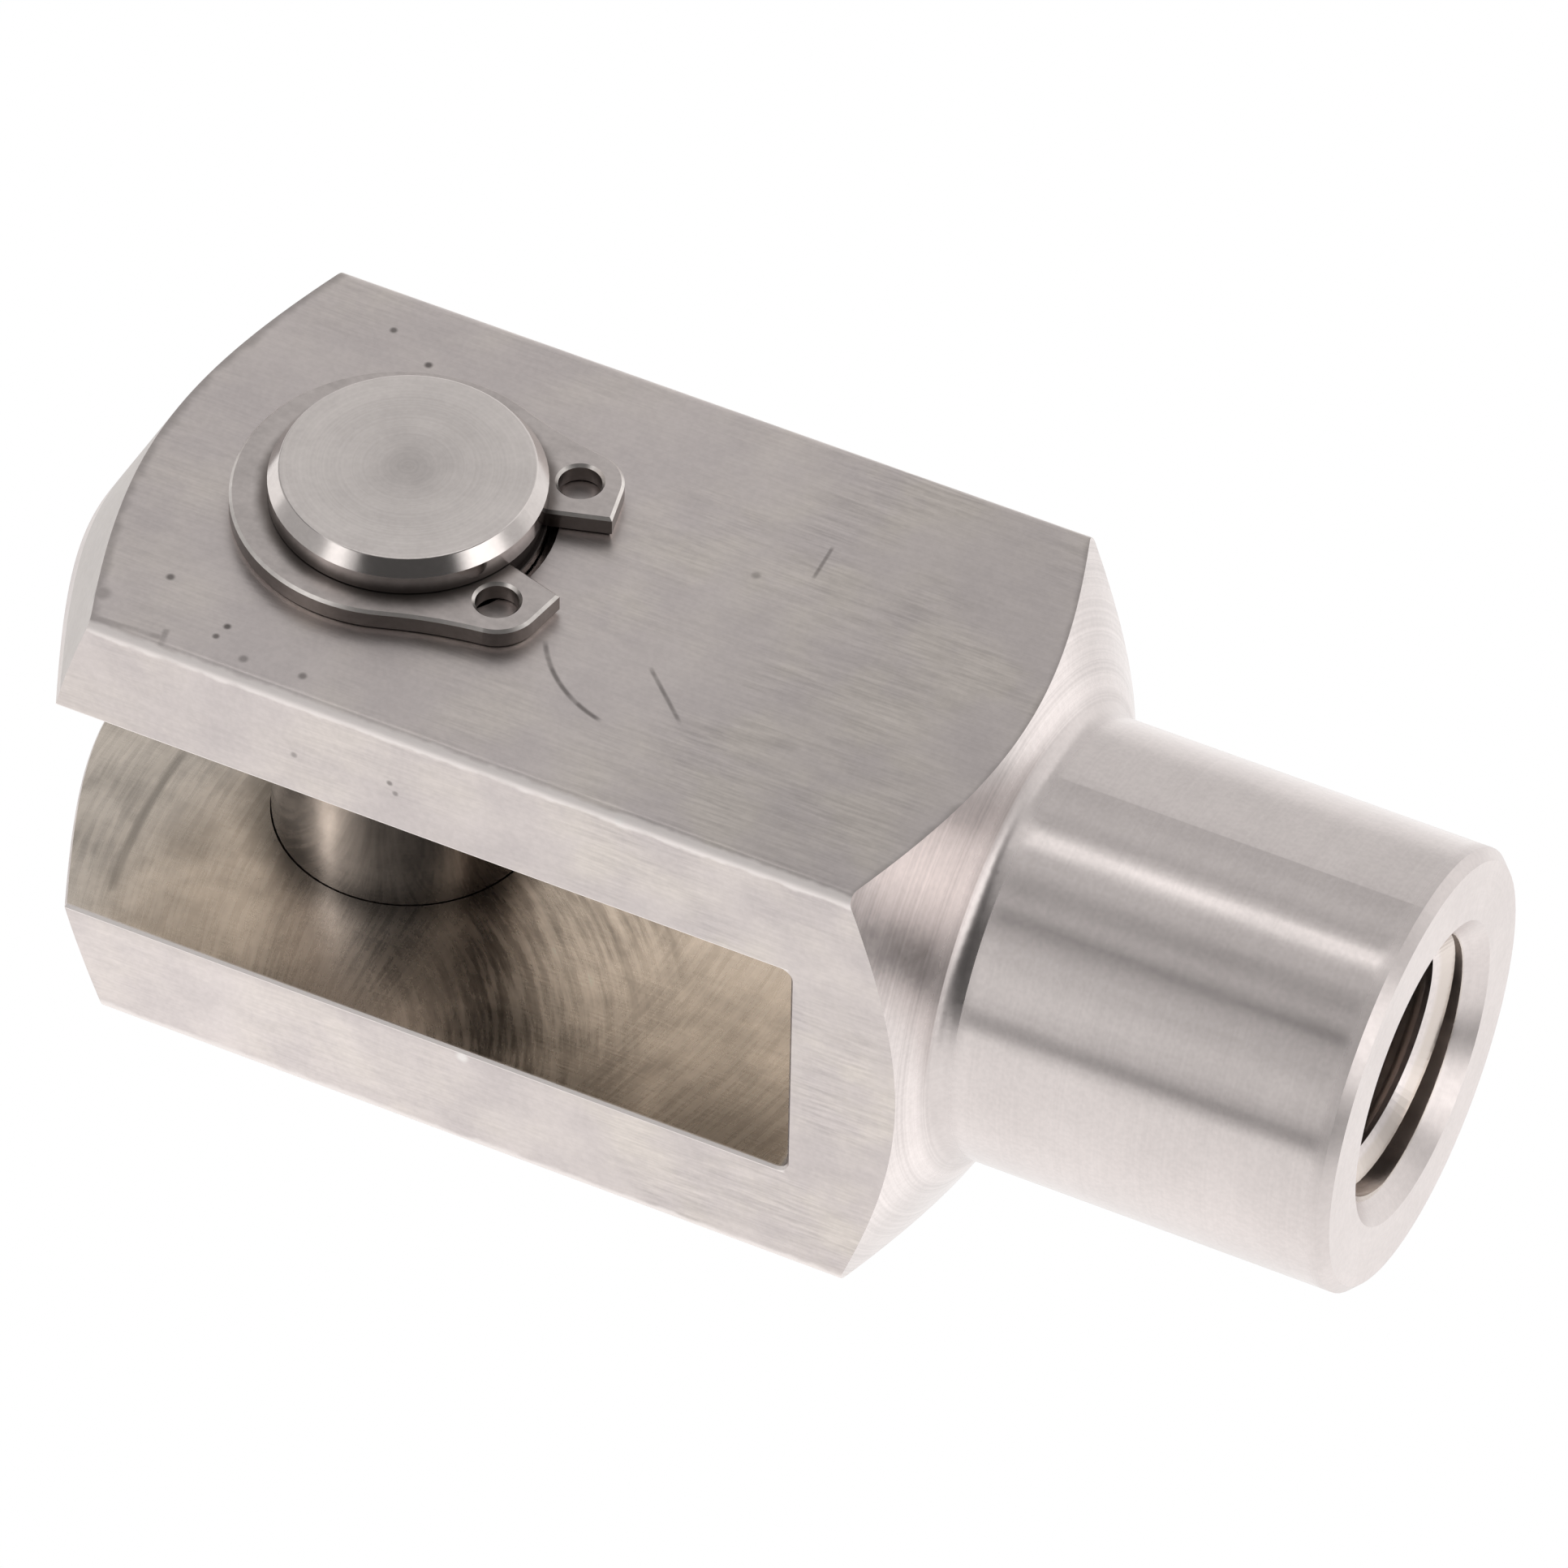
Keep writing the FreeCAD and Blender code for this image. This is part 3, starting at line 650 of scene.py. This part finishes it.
def makeRingSteel(finish):
    material, tree, shader = newMaterial("ringSteel")
    coords = addNode(tree, "ShaderNodeTexCoord")
    place = coords.outputs["Object"]
    reach = flatLength(tree, place, (1, 1, 0))
    upright = calc(tree, "ABSOLUTE", split(tree, coords.outputs["Normal"])[2])
    face = fade(tree, upright, 0.80, 0.92)
    edge = between(tree, upright, 0.35, 0.88, 0.06)
    grain = useGroup(tree, grainGroup, Vector=place, Stretch=(900.0, 2600.0, 2600.0))
    cloud = useGroup(tree, cloudGroup, Vector=place, Scale=650.0)
    tone = total(tree, swing(tree, grain["Fine"], 0.10), swing(tree, cloud["Cloud"], 0.12),
                 swing(tree, cloud["Speckle"], 0.06), 1.0)
    # colour by the normal: painted shade on the sides and a painted highlight on the edge breaks
    colour = blendColour(tree, face, finish["sideShadeColour"], finish["colour"])
    colour = blendColour(tree, edge, colour, finish["edgeHighlightColour"])
    colour = vectorCalc(tree, "MULTIPLY", colour, tone)
    # painted shade and reflection of the pin's dark groove on the ring beside the pin
    ragged = calc(tree, "ADD", reach, calc(tree, "MULTIPLY", noise(tree, place, 800.0), 0.3 * mm))
    pinShade = fadeMm(tree, ragged, 6.25, 6.90, 0.85, 0.0)
    colour = blendColour(tree, pinShade, colour, finish["pinShadeColour"])
    feed(tree, shader.inputs["Base Color"], colour)
    rough = blendValue(tree, face, finish["sideRoughness"], finish["roughness"])
    feed(tree, shader.inputs["Roughness"], rough)
    feed(tree, shader.inputs["Normal"], bump(tree, grain["Fine"], 0.4, 0.003 * mm))
    return material


forkSteel = makeForkSteel(forkFinish)
pinSteel = makePinSteel(pinFinish)
ringSteel = makeRingSteel(ringFinish)

for node, material in (("fork_body", forkSteel), ("clevis_pin", pinSteel),
                       ("retaining_ring_upper", ringSteel), ("retaining_ring_lower", ringSteel)):
    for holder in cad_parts[node].material_slots:
        holder.material = material
print("materials on the solids")


# Thread: a ridge along a helix in the tapped bore, as a grid of points that a rule puts in place

threadSizes = {
    "Bore Radius": fork["boreRadius"] + 0.04, "Crest Radius": 5.05, "Pitch": 1.75, "Root Width": 1.53,
    "Crest Width": 0.24, "Start": fork["slotFloor"], "Mouth": fork["neckEnd"],
    "Mouth Radius": fork["mouthRadius"],
    "Advance": 1.0,    # how far the ridge stands on towards the mouth
}


def step(tree, factor, first, second):
    # first or second value by a factor of 0 or 1
    return calc(tree, "ADD", first, calc(tree, "MULTIPLY", calc(tree, "SUBTRACT", second, first), factor))


def makeThread(sizes):
    tree = bpy.data.node_groups.new("threadRidge", "GeometryNodeTree")
    tree.interface.new_socket("Geometry", in_out="OUTPUT", socket_type="NodeSocketGeometry")
    for label, value in sizes.items():
        socket = tree.interface.new_socket(label, in_out="INPUT", socket_type="NodeSocketFloat")
        socket.default_value = value * mm
    pointsPerTurn, pointsPerSection = 96, 5
    material = tree.interface.new_socket("Material", in_out="INPUT", socket_type="NodeSocketMaterial")
    given = addNode(tree, "NodeGroupInput").outputs
    span = calc(tree, "ADD", calc(tree, "SUBTRACT", given["Mouth"], given["Start"]),
                calc(tree, "MULTIPLY", given["Pitch"], 2.0))
    turns = calc(tree, "DIVIDE", span, given["Pitch"])
    steps = calc(tree, "ROUND", calc(tree, "MULTIPLY", turns, float(pointsPerTurn)))
    grid = addNode(tree, "GeometryNodeMeshGrid")
    feed(tree, grid.inputs["Size X"], 1.0)
    feed(tree, grid.inputs["Size Y"], 1.0)
    feed(tree, grid.inputs["Vertices X"], steps)
    feed(tree, grid.inputs["Vertices Y"], pointsPerSection)
    spot = split(tree, addNode(tree, "GeometryNodeInputPosition").outputs[0])
    along = calc(tree, "ADD", spot["X"], 0.5)
    corner = calc(tree, "MULTIPLY", calc(tree, "ADD", spot["Y"], 0.5), pointsPerSection - 1.0)
    # the points round the section are root, crest, crest, root and the first again
    isCrest = calc(tree, "LESS_THAN", calc(tree, "ABSOLUTE", calc(tree, "SUBTRACT", corner, 1.5)), 0.6)
    isFar = calc(tree, "LESS_THAN", calc(tree, "ABSOLUTE", calc(tree, "SUBTRACT", corner, 2.5)), 0.6)
    side = calc(tree, "SUBTRACT", calc(tree, "MULTIPLY", isFar, 2.0), 1.0)
    width = step(tree, isCrest, given["Root Width"], given["Crest Width"])
    shift = product(tree, width, 0.5, side)
    begin = calc(tree, "SUBTRACT", given["Start"], calc(tree, "SUBTRACT", given["Pitch"], given["Advance"]))
    axial = total(tree, begin, calc(tree, "MULTIPLY", along, span), shift)
    floorCut = calc(tree, "MAXIMUM", axial, calc(tree, "ADD", given["Start"], 0.01 * mm))
    # the mouth's cone cuts the last turns down
    coneRadius = total(tree, given["Mouth Radius"], calc(tree, "SUBTRACT", floorCut, given["Mouth"]))
    ridge = step(tree, isCrest, given["Bore Radius"], given["Crest Radius"])
    radius = calc(tree, "MINIMUM", calc(tree, "MAXIMUM", ridge, coneRadius), given["Bore Radius"])
    coneDepth = calc(tree, "SUBTRACT", given["Mouth Radius"], given["Bore Radius"])
    mouthCut = calc(tree, "MINIMUM", floorCut, calc(tree, "SUBTRACT", given["Mouth"], coneDepth))
    angle = product(tree, along, turns, 2.0 * math.pi)
    moved = join(tree, mouthCut, calc(tree, "MULTIPLY", radius, calc(tree, "COSINE", angle)),
                 calc(tree, "MULTIPLY", radius, calc(tree, "SINE", angle)))
    placed = addNode(tree, "GeometryNodeSetPosition")
    feed(tree, placed.inputs["Geometry"], grid.outputs["Mesh"])
    feed(tree, placed.inputs["Position"], moved)
    merged = addNode(tree, "GeometryNodeMergeByDistance")
    feed(tree, merged.inputs["Geometry"], placed.outputs[0])
    feed(tree, merged.inputs["Distance"], 0.001 * mm)
    realized = addNode(tree, "GeometryNodeRealizeInstances")
    feed(tree, realized.inputs["Geometry"], merged.outputs[0])
    painted = addNode(tree, "GeometryNodeSetMaterial")
    feed(tree, painted.inputs["Geometry"], realized.outputs[0])
    feed(tree, painted.inputs["Material"], given["Material"])
    feed(tree, addNode(tree, "NodeGroupOutput").inputs["Geometry"], painted.outputs[0])
    holder = bpy.data.objects.new("threadHolder", bpy.data.meshes.new("threadHolder"))
    bpy.context.scene.collection.objects.link(holder)
    modifier = holder.modifiers.new("threadRidge", "NODES")
    modifier.node_group = tree
    modifier[material.identifier] = forkSteel
    return holder, modifier


def bakeNodes(holder, modifier, name):
    bpy.context.view_layer.update()
    graph = bpy.context.evaluated_depsgraph_get()
    mesh = bpy.data.meshes.new_from_object(holder.evaluated_get(graph))
    holder.modifiers.remove(modifier)
    bpy.data.objects.remove(holder)
    piece = bpy.data.objects.new(name, mesh)
    bpy.context.scene.collection.objects.link(piece)
    return piece


threadHolder, threadModifier = makeThread(threadSizes)
thread = bakeNodes(threadHolder, threadModifier, "neck_thread")
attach(thread, "fork")
print("thread made", len(thread.data.polygons), "faces")


# Studio: a level white floor that glows, and a light tent all round that the steel mirrors

studio = {
    "floorSize": 6.0,
    "floorDrop": 0.02,        # below the part, in millimetres
    "floorPaint": 0.0,
    "floorGlow": 1.0,
    "tentColour": rgb(1.0, 0.985, 0.975),
    "leftWallLight": 0.52,
}

# Brightness of the tent over a full turn in the YZ plane: 0 is the front horizon, 90 the zenith,
# 180 the back horizon, and 270 is straight down like -90
archLight = [(-90, 1.12), (-73, 1.13), (-25, 1.00), (-9, 1.02), (-5, 0.50), (-1, 0.22), (3, 0.80),
             (9, 0.90), (21, 0.82), (28, 0.64), (33, 0.31), (45, 0.60), (48.5, 0.46), (51, 0.02),
             (54, 0.36), (61, 0.60), (67, 0.36), (73, 0.42), (79, 0.72), (87, 0.45), (91, 1.27),
             (95.5, 1.75), (98.5, 0.60), (103, 0.44), (114, 0.68), (128, 0.52), (135, 0.76), (172, 0.74),
             (184, 0.95), (207, 1.12), (239, 1.06), (270, 1.10)]

# Brightness to the right of the part by compass angle, above and below the horizon: 0 is the front,
# 90 is +X and 180 the back
rightLight = [(0, 0.2), (62, 0.2), (69, 0.95), (75, 1.70), (98, 1.60), (103, 0.80), (109, 0.62),
              (118, 0.64), (124, 0.90), (150, 1.05), (168, 1.15), (180, 0.9)]
lowRightLight = [(0, 1.1), (76, 1.05), (120, 1.32), (146, 1.32), (156, 0.98), (180, 0.98)]

# Lamps and dark openings, each over a compass range and a height range, the height being the sine of the
# elevation; soft is the width of their edges in both
panels = [
    {"compass": (-36, -21), "height": (0.16, 0.60), "soft": (4, 0.04), "light": 1.5},
    {"compass": (-52, -38), "height": (0.62, 0.80), "soft": (3, 0.03), "light": 2.2},
    {"compass": (-110, -64), "height": (0.58, 0.84), "soft": (5, 0.04), "light": 0.2},
    {"compass": (-12, 63), "height": (-0.15, 0.80), "soft": (4, 0.08), "light": 0.08},
    {"compass": (60, 100), "height": (0.50, 0.82), "soft": (4, 0.04), "light": 0.12},
    {"compass": (44, 76), "height": (-0.30, 0.02), "soft": (3, 0.04), "light": 0.22},
    {"compass": (95, 103), "height": (-0.44, -0.28), "soft": (2, 0.03), "light": 0.25},
    {"compass": (103.5, 112), "height": (-0.30, -0.17), "soft": (2, 0.03), "light": 1.6},
    {"compass": (116, 124), "height": (-0.22, -0.12), "soft": (2, 0.03), "light": 0.6},
]


def lightRamp(tree, factor, stops, low, high):
    # colour ramp whose stops are brightnesses at angles between low and high
    ramp = addNode(tree, "ShaderNodeValToRGB")
    feed(tree, ramp.inputs["Fac"], factor)
    elements = ramp.color_ramp.elements
    for index, (angle, light) in enumerate(stops):
        place = (angle - low) / (high - low)
        stop = elements[index] if index < 2 else elements.new(place)
        stop.position = place
        stop.color = rgb(light, light, light)
    return ramp.outputs["Color"]


def makeWorld(looks):
    world = bpy.data.worlds.new("lightTent")
    bpy.context.scene.world = world
    world.use_nodes = True
    tree = world.node_tree
    tree.nodes.clear()
    x, y, z = split(tree, addNode(tree, "ShaderNodeTexCoord").outputs["Generated"])
    front = calc(tree, "MULTIPLY", y, -1.0)
    turned = calc(tree, "DIVIDE", calc(tree, "ARCTAN2", z, front), 2.0 * math.pi)
    light = lightRamp(tree, calc(tree, "FRACT", calc(tree, "ADD", turned, 0.25)), archLight, -90, 270)
    # the left wall is dimmer than the tent's middle
    leftWall = calc(tree, "MULTIPLY", fade(tree, x, -0.7, -0.45, 1.0, 0.0), fade(tree, z, -0.06, 0.04))
    light = blendValue(tree, leftWall, light, looks["leftWallLight"])
    compass = calc(tree, "DIVIDE", calc(tree, "ARCTAN2", x, front), math.pi)
    below = fade(tree, z, -0.2, -0.1, 1.0, 0.0)
    right = blendValue(tree, below, lightRamp(tree, compass, rightLight, 0, 180),
                       lightRamp(tree, compass, lowRightLight, 0, 180))
    onRight = calc(tree, "MULTIPLY", fade(tree, x, 0.1, 0.35), fade(tree, z, 0.75, 0.85, 1.0, 0.0))
    light = blendValue(tree, onRight, light, right)
    degrees = calc(tree, "MULTIPLY", compass, 180.0)
    for panel in panels:
        shape = calc(tree, "MULTIPLY", between(tree, degrees, *panel["compass"], panel["soft"][0]),
                     between(tree, z, *panel["height"], panel["soft"][1]))
        light = blendValue(tree, shape, light, panel["light"])
    tent = addNode(tree, "ShaderNodeBackground")
    feed(tree, tent.inputs["Color"], looks["tentColour"])
    feed(tree, tent.inputs["Strength"], light)
    # the camera itself sees plain white
    plain = addNode(tree, "ShaderNodeBackground")
    feed(tree, plain.inputs["Color"], rgb(1.0, 1.0, 1.0))
    mix = addNode(tree, "ShaderNodeMixShader")
    feed(tree, mix.inputs[0], addNode(tree, "ShaderNodeLightPath").outputs["Is Camera Ray"])
    feed(tree, mix.inputs[1], tent.outputs[0])
    feed(tree, mix.inputs[2], plain.outputs[0])
    feed(tree, addNode(tree, "ShaderNodeOutputWorld").inputs["Surface"], mix.outputs[0])


def makeFloor(looks):
    half = looks["floorSize"] / 2
    level = cadBox[0][2] - looks["floorDrop"] * mm
    corners = [(-half, -half, level), (half, -half, level), (half, half, level), (-half, half, level)]
    mesh = bpy.data.meshes.new("floor")
    mesh.from_pydata(corners, [], [(0, 1, 2, 3)])
    floor = bpy.data.objects.new("floor", mesh)
    bpy.context.scene.collection.objects.link(floor)
    material, tree, shader = newMaterial("floorPaper")
    paper = looks["floorPaint"]
    shader.inputs["Metallic"].default_value = 0.0
    feed(tree, shader.inputs["Base Color"], rgb(paper, paper, paper))
    feed(tree, shader.inputs["Roughness"], 1.0)
    shader.inputs["Specular IOR Level"].default_value = 0.0
    feed(tree, shader.inputs["Emission Color"], rgb(1.0, 1.0, 1.0))
    feed(tree, shader.inputs["Emission Strength"], looks["floorGlow"])
    # seen from below the floor is clear, so the part's underside shows
    sides = addNode(tree, "ShaderNodeMixShader")
    feed(tree, sides.inputs[0], addNode(tree, "ShaderNodeNewGeometry").outputs["Backfacing"])
    feed(tree, sides.inputs[1], shader.outputs[0])
    feed(tree, sides.inputs[2], addNode(tree, "ShaderNodeBsdfTransparent").outputs[0])
    feed(tree, tree.nodes["Material Output"].inputs["Surface"], sides.outputs[0])
    mesh.materials.append(material)
    floor.visible_glossy = False


makeWorld(studio)
makeFloor(studio)
print("studio made")


# Camera: turned and raised round the part as in the photograph, with a long lens

cameraView = {
    "azimuth": 24.95,
    "elevation": 46.284,
    "roll": 1.257,
    "distance": 670.75,
    "aim": (16.923, 2.161, 1.098),
    "lens": 359.22,
    "sensor": 36.0,
}


def makeCamera(view):
    turn, rise, roll = [math.radians(view[key]) for key in ("azimuth", "elevation", "roll")]
    back = Vector((math.sin(turn) * math.cos(rise), -math.cos(turn) * math.cos(rise), math.sin(rise)))
    level = Vector((math.cos(turn), math.sin(turn), 0.0))
    upright = back.cross(level)
    right = level * math.cos(roll) + upright * math.sin(roll)
    up = upright * math.cos(roll) - level * math.sin(roll)
    data = bpy.data.cameras.new("camera")
    data.lens = view["lens"]
    data.sensor_width = view["sensor"]
    data.clip_start = 0.01
    camera = bpy.data.objects.new("camera", data)
    bpy.context.scene.collection.objects.link(camera)
    place = (Vector(view["aim"]) + back * view["distance"]) * mm
    camera.matrix_world = Matrix.Translation(place) @ Matrix((right, up, back)).transposed().to_4x4()
    bpy.context.scene.camera = camera


makeCamera(cameraView)
bpy.context.scene.view_settings.view_transform = "Standard"
print("camera set")
